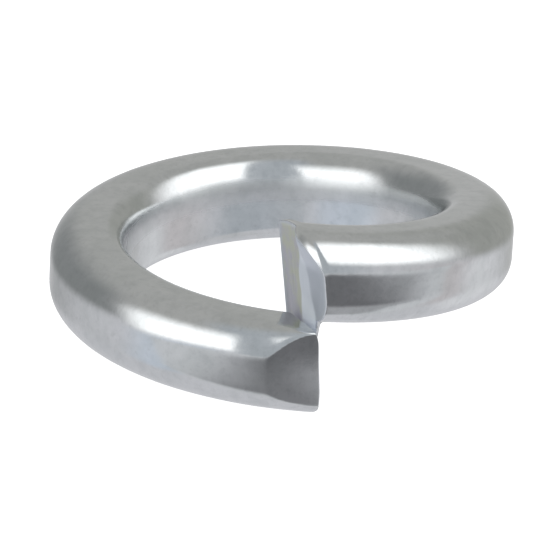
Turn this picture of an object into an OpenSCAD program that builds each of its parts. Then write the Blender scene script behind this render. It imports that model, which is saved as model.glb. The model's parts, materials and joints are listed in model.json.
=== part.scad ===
// Spring lock washer: one turn of a nearly square steel bar, coiled left-handed into an open ring.
// Frame: the bore's axis is +Z, the low end's underside starts at z = 0, and the cut faces the front, -Y.

/* [Bar] */
// Diameter of the bore that the screw passes through
bore_d = 8.1; // [5:0.1:20]
// Width of the bar, from the bore to the outer wall
bar_w = 2.1; // [1.8:0.05:4]
// Height of the bar, along the axis
bar_h = 2.38; // [1.9:0.05:5]
// Rise of the free washer in one turn, from the low end to the high end
rise = 2.48; // [2:0.02:5]

/* [Edges of the bar] */
// Radius of the top edge at the outer wall
top_outer_r = 0.9; // [0.2:0.02:0.92]
// Radius of the top edge at the bore
top_inner_r = 0.68; // [0.1:0.02:0.8]
// Radius of the bottom edge at the outer wall
bottom_outer_r = 0.8; // [0.2:0.02:0.9]
// Radius of the bottom edge at the bore
bottom_inner_r = 0.42; // [0.1:0.02:0.8]

/* [Cut ends] */
// Angle of the cut from a true radius, with its outer side towards the right
cut_skew = 22; // [0:0.5:30]
// Lean of the low end's cut face from upright, with its top towards the left
low_lean = 5; // [0:0.5:10]
// Lean of the high end's cut face, which twisted as the ends sprang apart
high_lean = 7.5; // [0:0.5:12]
// Length by which the sprung ends pass each other, halfway up the bar
ends_pass = 0.1; // [0:0.01:0.3]

/* [Marks of the shear on the high end] */
// Depth to which the shear drew in the outer edge of the face
roll_depth = 0.06; // [0:0.01:0.3]
// Width of that drawn-in strip, from the outer wall inwards
roll_w = 0.8; // [0.2:0.05:1.5]
// Height by which the outer part of the top is rolled down at the face
roll_h = 0.4; // [0:0.02:0.5]
// Width of that rolled part, from the outer wall inwards
roll_inset = 0.88; // [0.4:0.02:1.2]
// Length of bar over which that part comes back up
roll_l = 0.14; // [0.06:0.02:0.6]
// Height by which the top is rolled down at the bore
dip_h = 0.23; // [0:0.01:0.4]
// Width over which the top rises again from the bore
dip_w = 0.9; // [0.4:0.05:1.5]
// Length of bar over which the top comes back up at the bore
dip_l = 0.3; // [0.1:0.05:1]
// Radius that is left on the edges at the bore
sharp_r = 0.1; // [0.04:0.02:0.4]
// Height of the burr that hangs from the face's lower edge
burr_h = 0.42; // [0:0.02:0.6]
// Thickness of the burr at its root
burr_l = 0.16; // [0.08:0.02:0.4]
// Distance of the burr from the outer wall
burr_inset = 0.58; // [0.2:0.02:1]

/* [Marks of the shear on the low end] */
// Radius that is left on the outer top edge at the tip
low_edge_r = 0.42; // [0.1:0.01:0.9]
// Length of bar over which that edge comes back to its full radius
low_edge_l = 1.2; // [0.4:0.1:4]
// Length of the flat pressed on the outer wall
flat_l = 1.35; // [0.4:0.05:3]
// Depth of that flat at the tip
flat_depth = 0.2; // [0.02:0.01:0.3]

/* [Hidden] */

// Walls and middle of the bar
bore_r = bore_d/2;
outer_r = bore_r + bar_w;
middle_r = bore_r + bar_w/2;
middle_h = bar_h/2;
turn_l = 2*PI*middle_r;

// The swept bar stands a little past both walls, and two true cylinders then cut it to them
wall_over = 0.03;
cutter_over = 1;
free_h = rise + bar_h;

// Steps along the turn, closer together over a length at each end, round each edge of the section,
// and inwards over each end face
turn_steps = 134;
end_steps = 14;
end_l = 1.6;
edge_steps = 5;
face_steps = 4;
section_points = 4*(edge_steps + 1);

// Turns an arc length at a radius into an angle
function arc_angle(length, r) = length/r*180/PI;

// Smooth blend from 0 to 1
function ease(x) = let (u = min(max(x, 0), 1)) u*u*(3 - 2*u);
function between(x, start, stop) = ease((x - start)/(stop - start));

// A point in plan at a radius and an angle. The angle runs from the front towards the left, so that
// a bar which climbs with it is coiled left-handed.
function plan(r, a) = [-r*sin(a), -r*cos(a)];

// The share of the turn at which a station of the sweep stands
function station(i) =
    let (fine = end_l/turn_l, k = turn_steps - i)
    i < end_steps ? fine*pow(i/end_steps, 1.7) :
    k < end_steps ? 1 - fine*pow(k/end_steps, 1.7) :
    fine + (1 - 2*fine)*(i - end_steps)/(turn_steps - 2*end_steps);

// Where the slanting cut crosses a radius r, at a height z over the bar's middle
function cut_angle(r, z, lean) =
    asin(middle_r*sin(cut_skew)/r) - cut_skew + arc_angle(z*tan(lean), r);

// Room between the two cut faces at a height z over the low end's middle, before the ends pass
function side_room(z) = z*tan(low_lean) + (rise - z)*tan(high_lean);

// The ends pass each other only so far that they stay clear_gap apart where they lie side by side
clear_gap = 0.05;
most_pass = min(side_room(middle_h), side_room(rise - middle_h - burr_h)) - clear_gap;
half_pass = min(ends_pass, most_pass)/2;

// The drawn-in strip along the outer edge of the high end's face
function roll_angle(r) =
    let (u = max(0, 1 - (outer_r - r)/roll_w)) arc_angle(roll_depth*u*u, r);

// Angles at which a point of the section starts at the low end and stops at the high end
function low_angle(r, z) = cut_angle(r, z, low_lean) - arc_angle(half_pass, r);
function high_angle(r, z) =
    360 + cut_angle(r, z, high_lean) + arc_angle(half_pass, r) - roll_angle(r);

// The pressed flat stands upright on a line in plan, from a point inside the outer wall at the cut to
// where it runs out of the wall. The line's nearest point to the axis lies at the angle flat_turn.
pressed_r = outer_r - flat_depth;
press_start = cut_angle(pressed_r, 0, low_lean);
run_out = cut_angle(outer_r, 0, low_lean) + arc_angle(flat_l, outer_r);
flat_turn = atan(
    (pressed_r*cos(press_start) - outer_r*cos(run_out))/(outer_r*sin(run_out) - pressed_r*sin(press_start))
);
flat_far = outer_r*cos(run_out - flat_turn);

// The radius that the press leaves of r near the low end
function pressed(r, a) = a > run_out + 20 ? r : min(r, flat_far/cos(a - flat_turn));

// How far the shear dragged a point down near the high end: its top at both sides, and the burr
roll_soft = 0.12;
burr_soft = 0.05;
function dragged(r, z, length) =
    let (
        inwards = min(max(1 - (r - bore_r)/dip_w, 0), 1),
        dip = dip_h*inwards*inwards*between(z, 0, middle_h*0.7)*(1 - ease(length/dip_l)),
        near = min(max(1 - length/roll_l, 0), 1),
        outwards = between(r, outer_r - roll_inset - roll_soft, outer_r - roll_inset + roll_soft),
        slant = 0.5 + 0.5*(outer_r - r)/roll_inset,
        roll = roll_h*outwards*slant*between(z, 0, middle_h*0.7)*(1 - sqrt(1 - near*near)),
        inside = between(r, outer_r - burr_inset + burr_soft, outer_r - burr_inset - burr_soft),
        burr = burr_h*inside*between(z, -middle_h*0.6, -middle_h)*(1 - ease(length/burr_l))
    )
    dip + roll + burr;

// A place in the section, carried part of the way round: t is 0 at the low end and 1 at the high end
function on_bar(p, t) =
    let (
        z = p[1] - dragged(p[0], p[1], (1 - t)*turn_l),
        low = low_angle(p[0], z),
        a = low + t*(high_angle(p[0], z) - low)
    )
    concat(plan(pressed(p[0], a), a), middle_h + z + rise*a/360);

// One rounded edge of the section, a quarter circle from the angle given. Its first or last point
// lies against a wall and is moved past it.
function edge(centre_r, centre_z, r, start) = [
    for (k = [0:edge_steps])
        let (q = start + 90*k/edge_steps, over = abs(sin(q)) < 0.001 ? wall_over*cos(q) : 0)
        [centre_r + r*cos(q) + over, centre_z + r*sin(q)]
];

// The radius of an edge that the shear sharpened, at a share of the length over which it did so
function drawn(end_r, full_r, share) =
    let (r = min(end_r, full_r)) r + (full_r - r)*ease(share);

// The section at a share t of the turn, anticlockwise from the bore's bottom edge
function section(t) =
    let (
        from_high = (1 - t)*turn_l/dip_l,
        bottom_r = drawn(sharp_r, bottom_inner_r, from_high),
        inner_r = drawn(sharp_r, top_inner_r, from_high),
        outer_edge_r = drawn(low_edge_r, top_outer_r, t*turn_l/low_edge_l)
    )
    concat(
        edge(bore_r + bottom_r, bottom_r - middle_h, bottom_r, 180),
        edge(outer_r - bottom_outer_r, bottom_outer_r - middle_h, bottom_outer_r, 270),
        edge(outer_r - outer_edge_r, middle_h - outer_edge_r, outer_edge_r, 0),
        edge(bore_r + inner_r, middle_h - inner_r, inner_r, 90)
    );

// A ring of an end face: the section shrunk towards its middle
function face_ring(t, share) = [
    for (p = section(t)) on_bar([middle_r + (p[0] - middle_r)*share, p[1]*share], t)
];

function face_points(t) = [
    for (s = [1:face_steps - 1]) for (p = face_ring(t, 1 - s/face_steps)) p
];

// Two triangles between neighbouring rings, that start at the point numbers a and b
function strip(a, b) = [
    for (j = [0:section_points - 1])
        let (k = (j + 1)%section_points)
        for (f = [[a + j, b + j, b + k], [a + j, b + k, a + k]]) f
];

function fan(a, tip) = [
    for (j = [0:section_points - 1]) [a + j, tip, a + (j + 1)%section_points]
];

function reversed(faces) = [for (f = faces) [f[0], f[2], f[1]]];

// An end face, from the ring at a, by way of the rings that start at b, to its middle point
function end_faces(a, b, tip) = concat(
    strip(a, b),
    [for (s = [0:1:face_steps - 3])
        for (f = strip(b + s*section_points, b + (s + 1)*section_points)) f],
    fan(b + (face_steps - 2)*section_points, tip)
);

// The bar as one closed mesh: its skin, then the low face, then the high face
module coiled_bar() {
    skin = [for (i = [0:turn_steps]) let (t = station(i)) for (p = section(t)) on_bar(p, t)];
    low_ring = len(skin);
    high_ring = low_ring + (face_steps - 1)*section_points;
    low_tip = high_ring + (face_steps - 1)*section_points;
    points = concat(
        skin,
        face_points(0),
        face_points(1),
        [on_bar([middle_r, 0], 0), on_bar([middle_r, 0], 1)]
    );
    sides = [for (i = [0:turn_steps - 1])
        for (f = strip(i*section_points, (i + 1)*section_points)) f];
    polyhedron(points, concat(
        sides,
        reversed(end_faces(0, low_ring, low_tip)),
        end_faces(turn_steps*section_points, high_ring, low_tip + 1)
    ), convexity = 6);
}

// The whole washer: the coiled bar between a true outer wall and a true bore
module lock_washer() {
    color("silver")
    difference() {
        intersection() {
            coiled_bar();
            translate([0, 0, -cutter_over])
                cylinder(r = outer_r, h = free_h + 2*cutter_over, $fn = 180);
        }
        translate([0, 0, -cutter_over])
            cylinder(r = bore_r, h = free_h + 2*cutter_over, $fn = 180);
    }
}

lock_washer();
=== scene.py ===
import json
import math

import bpy
from mathutils import Matrix, Vector, noise


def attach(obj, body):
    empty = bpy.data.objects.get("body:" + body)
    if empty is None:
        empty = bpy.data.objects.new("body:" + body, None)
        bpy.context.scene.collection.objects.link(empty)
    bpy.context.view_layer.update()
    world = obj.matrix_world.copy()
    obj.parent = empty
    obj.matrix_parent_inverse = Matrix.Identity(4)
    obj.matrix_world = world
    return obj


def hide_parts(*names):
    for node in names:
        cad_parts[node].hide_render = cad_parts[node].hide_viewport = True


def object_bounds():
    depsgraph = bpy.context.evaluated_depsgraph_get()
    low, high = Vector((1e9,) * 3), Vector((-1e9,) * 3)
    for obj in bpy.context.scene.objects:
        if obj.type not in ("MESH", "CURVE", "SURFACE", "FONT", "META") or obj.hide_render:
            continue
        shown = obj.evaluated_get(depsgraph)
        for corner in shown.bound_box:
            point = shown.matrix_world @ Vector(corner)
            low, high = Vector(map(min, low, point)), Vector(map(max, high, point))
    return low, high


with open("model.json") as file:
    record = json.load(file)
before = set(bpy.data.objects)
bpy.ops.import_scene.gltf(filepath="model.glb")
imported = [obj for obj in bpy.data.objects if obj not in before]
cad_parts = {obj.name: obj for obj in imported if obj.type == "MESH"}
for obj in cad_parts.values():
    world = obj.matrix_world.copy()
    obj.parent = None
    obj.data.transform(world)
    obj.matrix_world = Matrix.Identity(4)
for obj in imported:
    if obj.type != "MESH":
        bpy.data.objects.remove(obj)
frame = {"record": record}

cad_low, cad_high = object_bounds()

# The washer: one turn of drawn spring-steel bar, nearly square with rounded edges, coiled cold round a
# mandrel, sheared off at a skew, hardened so that it stays sprung open, and plated with bright zinc.
# One mesh, so that the plating runs unbroken over the bar, the arrises and both sheared ends.
MM = 0.001
outer_r = cad_high.x
bore_r = next(m for m in frame["record"]["mounts"] if m["name"] == "bore")["dims"]["r_mm"]*MM
bar_w = outer_r - bore_r
bar_h = 2.38*MM
rise = 2.48*MM
middle_r = bore_r + bar_w/2
middle_h = bar_h/2
turn_l = 2*math.pi*middle_r
top_outer_r = 0.9*MM
top_inner_r = 0.68*MM
top_inner_h = 0.98*MM
bottom_outer_r = 0.8*MM
bottom_inner_r = 0.42*MM

# The sheared ends: the skew of the cut, how far each face leans, and how far the ends pass each other.
cut_skew = math.radians(22)
low_lean = math.radians(5)
high_lean = math.radians(7.5)
half_pass = 0.05*MM

# What the shear left on the high end's face: a strip drawn in along the outer wall, and the upper outer
# part standing proud of the cut.
strip_depth = 0.06*MM
strip_w = 0.8*MM
proud_l = 0.2*MM
proud_from = 1.25*MM
proud_to = 0.8*MM
proud_low = 0.2*MM
proud_high = 0.95*MM

# On the high end's bar: the outer part of the top sloping down to the face, the top dipping at the bore,
# the edges sharpened at the bore, and a burr that hangs along the underside.
slope_w = 0.88*MM
slope_l = 0.2*MM
slope_rate = 0.76
slope_ease = 0.45
slope_power = 2.3
slope_soft_in = 0.2*MM
slope_soft_out = 0.16*MM
dip_h = 0.23*MM
dip_w = 0.9*MM
dip_l = 0.3*MM
sharp_r = 0.1*MM
burr_h = 0.47*MM
burr_l = 0.16*MM
burr_inset = 0.58*MM
burr_soft = 0.05*MM
upper_part = 0.7*middle_h
lower_part = -0.6*middle_h

# On the low end it sharpened the outer top edge and pressed a flat on the outer wall.
low_edge_r = 0.42*MM
low_edge_l = 1.2*MM
flat_l = 1.35*MM
flat_depth = 0.2*MM
crease_r = 0.012*MM


def ease(x):
    u = min(max(x, 0), 1)
    return u*u*(3 - 2*u)


def between(x, start, stop):
    return ease((x - start)/(stop - start))


def plan(r, angle):
    return -r*math.sin(angle), -r*math.cos(angle)


def cut_angle(r, z, lean):
    return math.asin(middle_r*math.sin(cut_skew)/r) - cut_skew + z*math.tan(lean)/r


def low_angle(r, z):
    return cut_angle(r, z, low_lean) - half_pass/r


def high_angle(r, z):
    strip = max(0, 1 - (outer_r - r)/strip_w)
    proud = proud_l*between(r, outer_r - proud_from, outer_r - proud_to)*between(z, proud_low, proud_high)
    return 2*math.pi + cut_angle(r, z, high_lean) + (half_pass - strip_depth*strip*strip + proud)/r


# The pressed flat stands on a line in plan, from inside the outer wall at the cut to its run-out.
pressed_r = outer_r - flat_depth
press_start = cut_angle(pressed_r, 0, low_lean)
run_out = cut_angle(outer_r, 0, low_lean) + flat_l/outer_r
flat_turn = math.atan(
    (pressed_r*math.cos(press_start) - outer_r*math.cos(run_out))
    / (outer_r*math.sin(run_out) - pressed_r*math.sin(press_start))
)
flat_far = outer_r*math.cos(run_out - flat_turn)
past_flat = run_out + 0.3


def pressed(r, angle, inset):
    """Radius that the press leaves of r, with a small radius where the flat meets the wall."""
    if angle > past_flat:
        return r
    limit = (flat_far - inset)/math.cos(angle - flat_turn)
    mix = min(max(0.5 + (limit - r)/(4*crease_r), 0), 1)
    return limit + (r - limit)*mix - 2*crease_r*mix*(1 - mix)


def dragged(r, z, length):
    """How far the shear dragged a place down, at a length of bar from the high end."""
    inwards = min(max(1 - (r - bore_r)/dip_w, 0), 1)
    dip = dip_h*inwards**2*between(z, 0, upper_part)*(1 - ease(length/dip_l))
    outwards = between(r, outer_r - slope_w - slope_soft_in, outer_r - slope_w + slope_soft_out)
    from_wall = (outer_r - r)/slope_w
    sloped = slope_l*(1 + from_wall)
    slope = slope_rate*(1 - slope_ease*from_wall)*sloped*max(1 - length/sloped, 0)**slope_power
    slope *= outwards*between(z, 0, upper_part)
    inside = between(r, outer_r - burr_inset + burr_soft, outer_r - burr_inset - burr_soft)
    burr = burr_h*inside*between(z, lower_part, -middle_h)*(1 - ease(length/burr_l))
    return dip + slope + burr


def on_bar(r, z, t, setback=0, inset=0):
    """A place in the section, carried the share t of the way round and set back from the nearer end."""
    z -= dragged(r, z, (1 - t)*turn_l)
    low = low_angle(r, z) + setback/r
    high = high_angle(r, z) - setback/r
    angle = low + t*(high - low)
    x, y = plan(pressed(r, angle, inset), angle)
    return Vector((x, y, middle_h + z + rise*angle/(2*math.pi)))


# The section, anticlockwise from the bore's bottom edge: points, and the way out of the bar at each.
edge_steps = 16
wall_steps = 12


def corner(centre_r, centre_z, wide, high, start):
    rows = []
    for k in range(edge_steps + 1):
        q = math.radians(start + 90*k/edge_steps)
        out = Vector((high*math.cos(q), wide*math.sin(q))).normalized()
        rows.append((centre_r + wide*math.cos(q), centre_z + high*math.sin(q), out.x, out.y))
    return rows


def drawn(end_r, full_r, share):
    return end_r + (full_r - end_r)*ease(share)


def section(t):
    share = (1 - t)*turn_l/dip_l
    bottom_r = drawn(sharp_r, bottom_inner_r, share)
    inner_edge = drawn(sharp_r, top_inner_r, share)
    inner_drop = drawn(sharp_r, top_inner_h, share)
    outer_edge = drawn(low_edge_r, top_outer_r, t*turn_l/low_edge_l)
    corners = [
        corner(bore_r + bottom_r, bottom_r - middle_h, bottom_r, bottom_r, 180),
        corner(outer_r - bottom_outer_r, bottom_outer_r - middle_h, bottom_outer_r, bottom_outer_r, 270),
        corner(outer_r - outer_edge, middle_h - outer_edge, outer_edge, outer_edge, 0),
        corner(bore_r + inner_edge, middle_h - inner_drop, inner_edge, inner_drop, 90),
    ]
    rows = []
    for n, rounded in enumerate(corners):
        last = rounded[-1]
        first = corners[(n + 1) % 4][0]
        rows += rounded
        for k in range(1, wall_steps):
            share = k/wall_steps
            rows.append((
                last[0] + (first[0] - last[0])*share,
                last[1] + (first[1] - last[1])*share,
                last[2],
                last[3],
            ))
    return rows


# Where each station of the sweep stands, closer together near both ends.
fine_l = 2.2*MM
fine_steps = 60
fine_power = 1.7
long_steps = 340
stations = [fine_l/turn_l*(k/fine_steps)**fine_power for k in range(fine_steps)]
stations += [(fine_l + (turn_l - 2*fine_l)*k/long_steps)/turn_l for k in range(long_steps)]
stations += [1 - fine_l/turn_l*(k/fine_steps)**fine_power for k in range(fine_steps, -1, -1)]

# Slow waves that drawing and coiling leave in the bar's surface, fading out at the ends.
wave_h = 0.004*MM
wave_l = 1.6*MM
quick_wave = 0.35
quick_share = 0.3
calm_l = 0.6*MM


def waves(place):
    slow = noise.noise(place/wave_l)
    quick = noise.noise(place/(quick_wave*wave_l))
    return wave_h*(slow + quick_share*quick - 1)


# A sheared face: torn next to the bore, where the metal broke, then rubbed bright by the blade as far as
# a slanting line, and smooth beyond it, with fine upright scores.
torn_w = 0.86*MM
torn_slant = 0.2
torn_ragged_w = 0.05*MM
torn_ragged_l = 0.4*MM
torn_soft_in = 0.06*MM
torn_soft_out = 0.04*MM
torn_depth = 0.03*MM
rubbed_w = 1.32*MM
rubbed_slant = 0.24
rubbed_ragged_w = 0.03*MM
rubbed_ragged_l = 0.3*MM
rubbed_soft = 0.08*MM
rubbed_faint = 0.3
rubbed_from = -0.5*MM
rubbed_full = -1.2*MM
streak_h = 0.016*MM
streak_w = 0.09*MM
streak_l = 0.7*MM
fine_streak_w = 0.4*streak_w
fine_streak_l = 0.3*streak_l
score_h = 0.002*MM
score_w = 0.07*MM
score_l = 2.5*MM


def torn_share(r, z):
    """1 on the torn part of a sheared face, next to the bore, and 0 on the smooth part."""
    ragged = noise.noise(Vector((z/torn_ragged_l, 3.1, 0)))
    edge = bore_r + torn_w + torn_slant*max(0, z) + torn_ragged_w*ragged
    return 1 - between(r, edge - torn_soft_in, edge + torn_soft_out)


def rubbed_share(r, z):
    """1 on the band that the blade rubbed bright, fainter above the foot of the face."""
    ragged = noise.noise(Vector((z/rubbed_ragged_l, 7.7, 0)))
    edge = bore_r + rubbed_w - rubbed_slant*z + rubbed_ragged_w*ragged
    rubbed = (1 - torn_share(r, z))*(1 - between(r, edge - rubbed_soft, edge + rubbed_soft))
    return rubbed*(rubbed_faint + (1 - rubbed_faint)*between(z, rubbed_from, rubbed_full))


def face_relief(r, z):
    """How far a sheared face lies behind the true cut."""
    torn = torn_share(r, z)
    streaks = noise.noise(Vector((r/streak_w, z/streak_l, 0)))
    fine = noise.noise(Vector((r/fine_streak_w, z/fine_streak_l, 5)))
    scores = noise.noise(Vector((r/score_w, z/score_l, 9)))
    return torn*(torn_depth + streak_h*(streaks + 0.5*fine)) + (1 - torn)*score_h*scores


# The bore's top edge, where the mandrel left the bar a little dull, from near one end to the other.
dull_w = 0.12*MM
dull_full_w = 0.02*MM
dull_from = -0.1*MM
dull_full = 0.15*MM
dull_end_l = 0.3*MM
dull_start_l = 1.2*MM


def dulled_share(r, z):
    """1 on the upper part of the bore's wall and the foot of its rounded edge, and 0 elsewhere."""
    return between(r, bore_r + dull_w, bore_r + dull_full_w)*between(z, dull_from, dull_full)


# The arris between the bar's skin and a sheared face, fuller where the low end's flat meets it.
arris_least = 0.025*MM
arris_more = 0.035*MM
arris_full_w = 0.25*MM
arris_from = 0.9*MM
arris_full = 0.1*MM
arris_steps = 5
arris_wear_l = 0.12*MM


def arris_r(r, z, t):
    full = between(r, outer_r - arris_full_w, outer_r)*between(z, arris_from, arris_full)
    return arris_least + arris_more*full*(1 - round(t))


# The mesh, ring by ring: each point bears marks, which the finish reads, each from 0 to 1.
points = []
marks = {"sheared": [], "torn": [], "rubbed": [], "arris": [], "dulled": []}
ring_n = len(section(0))


def add_point(place, **shares):
    points.append(place)
    for name, values in marks.items():
        values.append(float(shares.get(name, 0)))


face_rings = 30
rim_rings = 3


def end_rings(t):
    """Rings from the bar's skin over the arris and in over a sheared face, in that order."""
    starts = []
    profile = section(t)
    for k in range(arris_steps + 1):
        starts.append(len(points))
        turn = math.pi/2*k/arris_steps
        for r, z, out_r, out_z in profile:
            inset = arris_r(r, z, t)*(1 - math.cos(turn))
            setback = arris_r(r, z, t)*(1 - math.sin(turn))
            place = on_bar(r - out_r*inset, z - out_z*inset, t, setback, inset)
            add_point(place, sheared=k/arris_steps, arris=1)
    for k in range(1, face_rings):
        starts.append(len(points))
        share = 1 - k/face_rings
        rim = between(k, 0, rim_rings)
        for r, z, out_r, out_z in profile:
            inset = arris_r(r, z, t)
            face_r = middle_r + (r - out_r*inset - middle_r)*share
            face_z = (z - out_z*inset)*share
            place = on_bar(face_r, face_z, t, face_relief(face_r, face_z)*rim, inset)
            torn = torn_share(face_r, face_z)*rim
            rubbed = rubbed_share(face_r, face_z)*rim
            add_point(place, sheared=1, torn=torn, rubbed=rubbed, arris=1 - rim)
    return starts


faces = []


def join_rings(a, b, flip):
    for j in range(ring_n):
        k = (j + 1) % ring_n
        quad = (a + j, a + k, b + k, b + j)
        faces.append(quad[::-1] if flip else quad)


def close_end(starts, t, flip):
    for a, b in zip(starts, starts[1:]):
        join_rings(a, b, flip)
    tip = len(points)
    torn = torn_share(middle_r, 0)
    rubbed = rubbed_share(middle_r, 0)
    add_point(on_bar(middle_r, 0, t, face_relief(middle_r, 0)), sheared=1, torn=torn, rubbed=rubbed)
    for j in range(ring_n):
        tri = (starts[-1] + j, starts[-1] + (j + 1) % ring_n, tip)
        faces.append(tri[::-1] if flip else tri)


low_rings = end_rings(0)
skin_rings = []
for t in stations[1:-1]:
    skin_rings.append(len(points))
    near_end = min(t, 1 - t)*turn_l
    worn = 1 - between(near_end, 0, arris_wear_l)
    for r, z, out_r, out_z in section(t):
        setback = arris_r(r, z, t)
        swell = waves(on_bar(r, z, t, setback))*between(near_end, 0, calm_l)
        place = on_bar(r + out_r*swell, z + out_z*swell, t, setback)
        dulled = dulled_share(r, z)*between(near_end, dull_end_l, dull_start_l)
        add_point(place, arris=worn, dulled=dulled)
high_rings = end_rings(1)

around = [low_rings[0]] + skin_rings + [high_rings[0]]
for a, b in zip(around, around[1:]):
    join_rings(a, b, False)
close_end(low_rings, 0, True)
close_end(high_rings, 1, False)

washer_mesh = bpy.data.meshes.new("lock_washer_plated")
washer_mesh.from_pydata(points, [], faces)
washer_mesh.shade_smooth()
for name, values in marks.items():
    layer = washer_mesh.attributes.new(name=name, type="FLOAT", domain="POINT")
    layer.data.foreach_set("value", values)
washer_mesh.update()
washer = bpy.data.objects.new("lock_washer_plated", washer_mesh)
bpy.context.scene.collection.objects.link(washer)


class Paint:
    """A shader socket that goes into sums as a number does, and makes the other nodes of its tree."""

    def __init__(self, tree, socket=None):
        self.tree = tree
        self.socket = socket

    def node(self, kind, settings=None, sockets=None, out=0):
        made = self.tree.nodes.new(kind)
        for key, value in (settings or {}).items():
            setattr(made, key, value)
        for key, value in (sockets or {}).items():
            if isinstance(value, Paint):
                self.tree.links.new(value.socket, made.inputs[key])
            else:
                made.inputs[key].default_value = value
        return Paint(self.tree, None if out is None else made.outputs[out])

    def sum(self, operation, first, second):
        return self.node("ShaderNodeMath", {"operation": operation}, {0: first, 1: second})

    def __add__(self, other):
        return self.sum("ADD", self, other)

    def __radd__(self, other):
        return self.sum("ADD", other, self)

    def __sub__(self, other):
        return self.sum("SUBTRACT", self, other)

    def __rsub__(self, other):
        return self.sum("SUBTRACT", other, self)

    def __mul__(self, other):
        return self.sum("MULTIPLY", self, other)

    def __rmul__(self, other):
        return self.sum("MULTIPLY", other, self)

    def smooth(self, start, stop):
        """0 below start, 1 above stop, and a soft step between."""
        return self.node("ShaderNodeMapRange", {"interpolation_type": "SMOOTHSTEP"},
                         {"Value": self, "From Min": start, "From Max": stop})

    def blend(self, first, second):
        """The first colour where this is 0 and the second where it is 1."""
        return self.node("ShaderNodeMix", {"data_type": "RGBA"}, {0: self, 6: first, 7: second}, 2)


def bare_tree(holder):
    """The empty node tree of a new material or world."""
    holder.use_nodes = True
    holder.node_tree.nodes.clear()
    return Paint(holder.node_tree)


# Bright zinc over steel: a pale blue-grey metal with cloudy tone, blots, dark specks and a fine grain. The
# sheared metal is bluer and duller, torn metal the dullest, and the arrises are rubbed pale.
zinc = bpy.data.materials.new("zinc_plated_steel")
zinc_paint = bare_tree(zinc)
zinc_place = zinc_paint.node("ShaderNodeTexCoord", out="Object")


def zinc_cloud(size, detail, lift):
    """Cloudy noise whose features are about that size."""
    sockets = {"Vector": zinc_place, "Scale": 1/size, "Detail": detail, "Roughness": lift}
    return zinc_paint.node("ShaderNodeTexNoise", {}, sockets)


def zinc_mark(name):
    """One of the marks that the mesh bears."""
    return zinc_paint.node("ShaderNodeAttribute", {"attribute_name": name}, out="Fac")


torn_mask = zinc_mark("torn")
rubbed_mask = zinc_mark("rubbed")
sheared_mask = zinc_mark("sheared")
arris_mask = zinc_mark("arris")
dulled_mask = zinc_mark("dulled")
clouds = zinc_cloud(0.9*MM, 3, 0.55)
blots = zinc_cloud(0.3*MM, 3, 0.6)
specks = zinc_cloud(0.12*MM, 2, 0.5)
grain = zinc_cloud(0.035*MM, 2, 0.6)

plate_tone = clouds.smooth(0.35, 0.65).blend((0.66, 0.68, 0.685, 1), (0.71, 0.725, 0.735, 1))
blotted = (blots.smooth(0.4, 0.75)*0.45).blend(plate_tone, (0.55, 0.57, 0.58, 1))
speckled = (specks.smooth(0.55, 0.75)*0.25).blend(blotted, (0.53, 0.54, 0.54, 1))
cut_tone = sheared_mask.blend(speckled, (0.58, 0.62, 0.69, 1))
rubbed_tone = rubbed_mask.blend(cut_tone, (0.86, 0.91, 0.96, 1))
torn_colour = clouds.smooth(0.42, 0.58).blend((0.57, 0.57, 0.62, 1), (0.6, 0.62, 0.54, 1))
torn_tone = torn_mask.blend(rubbed_tone, torn_colour)
worn_tone = (arris_mask*0.25).blend(torn_tone, (0.78, 0.79, 0.79, 1))

plate_rough = 0.1 + clouds*0.04 + specks*0.04 + sheared_mask*0.2 + torn_mask*0.12 + dulled_mask*0.24
plate_metal = 1 - sheared_mask*0.3 - rubbed_mask*0.55
height = grain*0.4 + specks*0.6 + clouds*1.5
plate_bump = zinc_paint.node(
    "ShaderNodeBump", {}, {"Strength": 0.5, "Distance": 0.003*MM, "Height": height}, "Normal"
)
plate_skin = zinc_paint.node("ShaderNodeBsdfPrincipled", {}, {
    "Base Color": worn_tone,
    "Metallic": plate_metal,
    "Roughness": plate_rough,
    "Normal": plate_bump,
})
zinc_paint.node("ShaderNodeOutputMaterial", {}, {"Surface": plate_skin}, out=None)
washer_mesh.materials.append(zinc)
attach(washer, "root")
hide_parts("lock_washer")

# The table: a plain white paper sheet, clear from below. A free washer leans on it, on the low tip and the
# far side of its underside, so the sheet is tilted to the washer, which keeps its own upright frame.
lean = math.radians(8.57)
lean_turn = math.radians(34.5)
table_up = Vector((
    -math.sin(lean)*math.sin(lean_turn),
    -math.sin(lean)*math.cos(lean_turn),
    math.cos(lean),
))
table_drop = min(table_up.dot(p) for p in points)
table_r = 0.3
table_steps = 72
table_tilt = table_up.to_track_quat("Z", "Y").to_matrix()
table_rim = [
    table_tilt @ Vector((table_r*math.cos(q), table_r*math.sin(q), 0)) + table_up*table_drop
    for q in (math.radians(360/table_steps*k) for k in range(table_steps))
]
table_mesh = bpy.data.meshes.new("table")
table_mesh.from_pydata(table_rim, [], [tuple(range(table_steps))])
table = bpy.data.objects.new("table", table_mesh)
bpy.context.scene.collection.objects.link(table)

sheet = bpy.data.materials.new("white_sheet")
sheet_paint = bare_tree(sheet)
sheet_fibre = sheet_paint.node("ShaderNodeTexNoise", {}, {"Scale": 900.0, "Detail": 2.0})
sheet_tone = sheet_fibre.smooth(0.3, 0.7).blend((0.5, 0.5, 0.5, 1), (0.52, 0.52, 0.52, 1))
sheet_face = sheet_paint.node("ShaderNodeBsdfPrincipled", {}, {
    "Base Color": sheet_tone,
    "Roughness": 0.9,
    "Emission Color": (1, 1, 1, 1),
    "Emission Strength": 0.9,
})
under_side = sheet_paint.node("ShaderNodeNewGeometry", out="Backfacing")
clear = sheet_paint.node("ShaderNodeBsdfTransparent")
sheet_skin = sheet_paint.node("ShaderNodeMixShader", {}, {0: under_side, 1: sheet_face, 2: clear})
sheet_paint.node("ShaderNodeOutputMaterial", {}, {"Surface": sheet_skin}, out=None)
table_mesh.materials.append(sheet)
table.visible_glossy = False

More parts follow.
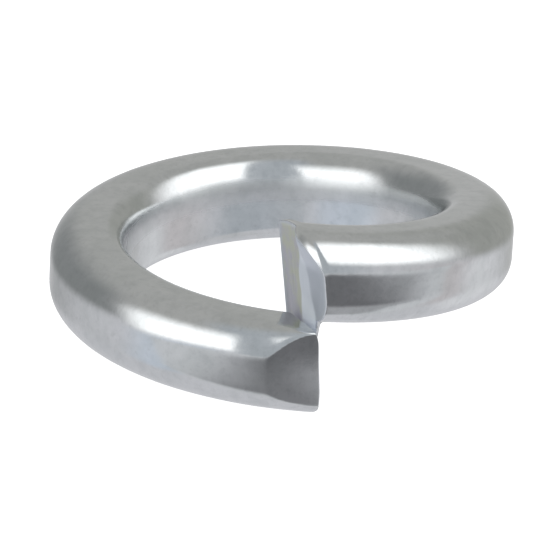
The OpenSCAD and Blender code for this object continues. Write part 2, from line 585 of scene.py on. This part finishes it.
# The camera: a long lens a little left of the front, looking down on the washer and rolled a little. Its
# place, turn and roll come from a fit to the washer's two outlines.
camera_turn = math.radians(-6.97)
camera_rise = math.radians(19.27)
camera_roll = math.radians(3.12)
camera_far = 126.64*MM
aim_down = 0.770*MM
aim_left = 0.031*MM
flat_right = Vector((math.cos(camera_turn), math.sin(camera_turn), 0))
to_camera = Vector((
    math.sin(camera_turn)*math.cos(camera_rise),
    -math.cos(camera_turn)*math.cos(camera_rise),
    math.sin(camera_rise),
))
flat_up = to_camera.cross(flat_right)
image_right = math.cos(camera_roll)*flat_right + math.sin(camera_roll)*flat_up
image_up = math.cos(camera_roll)*flat_up - math.sin(camera_roll)*flat_right
washer_centre = Vector((0, 0, (rise + bar_h)/2))
camera_place = washer_centre + to_camera*camera_far
aim = washer_centre - image_up*aim_down - image_right*aim_left
view_back = (camera_place - aim).normalized()
view_right = image_up.cross(view_back).normalized()
view_up = view_back.cross(view_right)
lens = bpy.data.cameras.new("photo_camera")
lens.sensor_width = 36
lens.lens = 305.3
lens.clip_start = 0.01
lens.clip_end = 10
camera = bpy.data.objects.new("photo_camera", lens)
camera.matrix_world = Matrix((
    (view_right.x, view_up.x, view_back.x, camera_place.x),
    (view_right.y, view_up.y, view_back.y, camera_place.y),
    (view_right.z, view_up.z, view_back.z, camera_place.z),
    (0, 0, 0, 1),
))
bpy.context.scene.collection.objects.link(camera)
bpy.context.scene.camera = camera

# The shade: a grey sheet that lies level in front of the washer's foot, darkest in its middle. It is
# painted
# shade: it glows dark grey, and only the metal's reflections see it, where it darkens the outer wall and
# the flat.
shade_left = -9*MM
shade_right = 27*MM
shade_near = -6.35*MM
shade_far = -32*MM
shade_points = [
    (shade_left, shade_near, 0),
    (shade_right, shade_near, 0),
    (shade_right, shade_far, 0),
    (shade_left, shade_far, 0),
]
shade_mesh = bpy.data.meshes.new("grey_shade")
shade_mesh.from_pydata(shade_points, [], [(0, 1, 2, 3)])
shade = bpy.data.objects.new("grey_shade", shade_mesh)
bpy.context.scene.collection.objects.link(shade)

# The painted shade's dark middle fades out to the left and right and at both edges, is painted paler near
# the washer, and stops a little further off on the right.
painted_shade = bpy.data.materials.new("painted_shade_sheet")
painted_shade_paint = bare_tree(painted_shade)
painted_shade_place = painted_shade_paint.node("ShaderNodeTexCoord", out="Object")
painted_shade_x = painted_shade_paint.node("ShaderNodeSeparateXYZ", {}, {0: painted_shade_place}, 0)
painted_shade_y = painted_shade_paint.node("ShaderNodeSeparateXYZ", {}, {0: painted_shade_place}, 1)
painted_shade_dark = painted_shade_x.smooth(-6.5*MM, -0.6*MM)*(1 - painted_shade_x.smooth(5*MM, 19*MM))
# Painted light: the painted shade is made paler close to the washer, lightening the reflection low on the
# pressed flat.
painted_shade_paler = painted_shade_x.smooth(0.3*MM, 1.8*MM)*0.4 + 0.12
painted_shade_dark = painted_shade_dark*(1 - painted_shade_paler*painted_shade_y.smooth(-10.5*MM, -8.5*MM))
painted_shade_near = painted_shade_y + painted_shade_x.smooth(2*MM, 6*MM)*(1.5*MM)
painted_shade_dark = painted_shade_dark*(1 - painted_shade_near.smooth(-6.85*MM, shade_near))*painted_shade_y.smooth(-30*MM, -20*MM)
# Painted shade: pale grey at the sheet's edges and dark grey in its middle.
painted_shade_tone = painted_shade_dark.blend((0.69, 0.7, 0.72, 1), (0.18, 0.18, 0.19, 1))
painted_shade_glow = painted_shade_paint.node("ShaderNodeEmission", {}, {"Color": painted_shade_tone, "Strength": 1.0})
painted_shade_paint.node("ShaderNodeOutputMaterial", {}, {"Surface": painted_shade_glow}, out=None)
shade_mesh.materials.append(painted_shade)
shade.visible_camera = False
shade.visible_diffuse = False
shade.visible_shadow = False

# The backdrop: seamless white paper, built as a dome far behind everything. Only the camera sees it, so it
# lights nothing and shows in no reflection.
dome_r = 1.5
dome_rows = 12
dome_cols = 36
dome_points = []
for i in range(dome_rows + 1):
    fall = math.pi*i/dome_rows
    for j in range(dome_cols):
        turn = 2*math.pi*j/dome_cols
        dome_points.append((
            dome_r*math.sin(fall)*math.cos(turn),
            dome_r*math.sin(fall)*math.sin(turn),
            dome_r*math.cos(fall),
        ))
dome_faces = []
for i in range(dome_rows):
    for j in range(dome_cols):
        k = (j + 1) % dome_cols
        dome_faces.append((
            i*dome_cols + j, i*dome_cols + k, (i + 1)*dome_cols + k, (i + 1)*dome_cols + j
        ))
dome_mesh = bpy.data.meshes.new("backdrop")
dome_mesh.from_pydata(dome_points, [], dome_faces)
backdrop = bpy.data.objects.new("backdrop", dome_mesh)
bpy.context.scene.collection.objects.link(backdrop)
paper = bpy.data.materials.new("white_backdrop")
paper_paint = bare_tree(paper)
paper_glow = paper_paint.node("ShaderNodeEmission", {}, {"Color": (1, 1, 1, 1), "Strength": 1.0})
paper_paint.node("ShaderNodeOutputMaterial", {}, {"Surface": paper_glow}, out=None)
dome_mesh.materials.append(paper)
backdrop.visible_glossy = False
backdrop.visible_diffuse = False
backdrop.visible_shadow = False

# The studio: two tall soft boxes at the front, left and right, in a pale tent with darker corners.
# Each is placed by its turn to the right of the camera and its rise above the camera's view line.
studio = bpy.data.worlds.new("studio")
tent = bare_tree(studio)
bpy.context.scene.world = studio
tent_way = tent.node("ShaderNodeTexCoord", out="Generated")


def tent_part(direction):
    return tent.node("ShaderNodeVectorMath", {"operation": "DOT_PRODUCT"},
                     {0: tent_way, 1: tuple(direction)}, "Value")


tent_turn = tent.sum("ARCTAN2", tent_part(image_right), tent_part(to_camera))*(180/math.pi)
tent_rise = tent.sum("ARCSINE", tent_part(image_up), 0)*(180/math.pi)


def patch(turns, rises, soft, slant=0.0):
    """1 inside a patch of the tent, between two turns and two rises in degrees.

    Its left, right, low and high edges fade over the angles in soft. With a slant, the left and right
    edges move that share of a degree to the left for each degree of rise.
    """
    left, right, low, high = soft
    sideways = tent_turn + tent_rise*slant
    inside = sideways.smooth(turns[0] - left, turns[0] + left)
    inside = inside*(1 - sideways.smooth(turns[1] - right, turns[1] + right))
    inside = inside*tent_rise.smooth(rises[0] - low, rises[0] + low)
    return inside*(1 - tent_rise.smooth(rises[1] - high, rises[1] + high))


box_light = (1.65, 1.66, 1.66, 1)
dark_behind_left = patch((-160, -76), (-2, 50), (20, 16, 10, 20))
dark_behind_right = patch((100, 167), (-2, 50), (14, 12, 8, 10))
gap_between_boxes = patch((-22, 40), (-42, 66), (10, 16, 8, 16))
floor_right = patch((44, 110), (-90, -40), (10, 30, 4, 10))
low_right = patch((76, 112), (-40, -8), (22, 12, 10, 8))
pale_far_right = patch((112, 150), (-40, -8), (10, 20, 8, 8))
low_front = patch((4, 62), (-46, -31), (16, 26, 6, 3))
blue_low_left = patch((-85, -30), (-36, -18), (10, 8, 6, 6))
left_box = patch((-72, -17.2), (-16, 33), (12, 1, 8, 16), -0.17)
right_box = patch((25, 88), (4, 66), (2, 18, 10, 12), 0.09)

tent_tone = tent_rise.smooth(-30, 50).blend((0.69, 0.69, 0.72, 1), (0.48, 0.48, 0.465, 1))
tent_tone = dark_behind_left.blend(tent_tone, (0.28, 0.29, 0.29, 1))
tent_tone = dark_behind_right.blend(tent_tone, (0.4, 0.405, 0.38, 1))
tent_tone = gap_between_boxes.blend(tent_tone, (0.5, 0.53, 0.56, 1))
tent_tone = floor_right.blend(tent_tone, (0.66, 0.66, 0.68, 1))
tent_tone = low_right.blend(tent_tone, (0.65, 0.62, 0.63, 1))
tent_tone = pale_far_right.blend(tent_tone, (0.84, 0.84, 0.86, 1))
tent_tone = low_front.blend(tent_tone, (0.5, 0.53, 0.57, 1))
tent_tone = blue_low_left.blend(tent_tone, (0.66, 0.71, 0.79, 1))
tent_tone = left_box.blend(tent_tone, box_light)
tent_tone = right_box.blend(tent_tone, box_light)
tent_glow = tent.node("ShaderNodeBackground", {}, {"Color": tent_tone, "Strength": 1.0})
tent.node("ShaderNodeOutputWorld", {}, {"Surface": tent_glow}, out=None)
bpy.context.scene.view_settings.view_transform = "Standard"
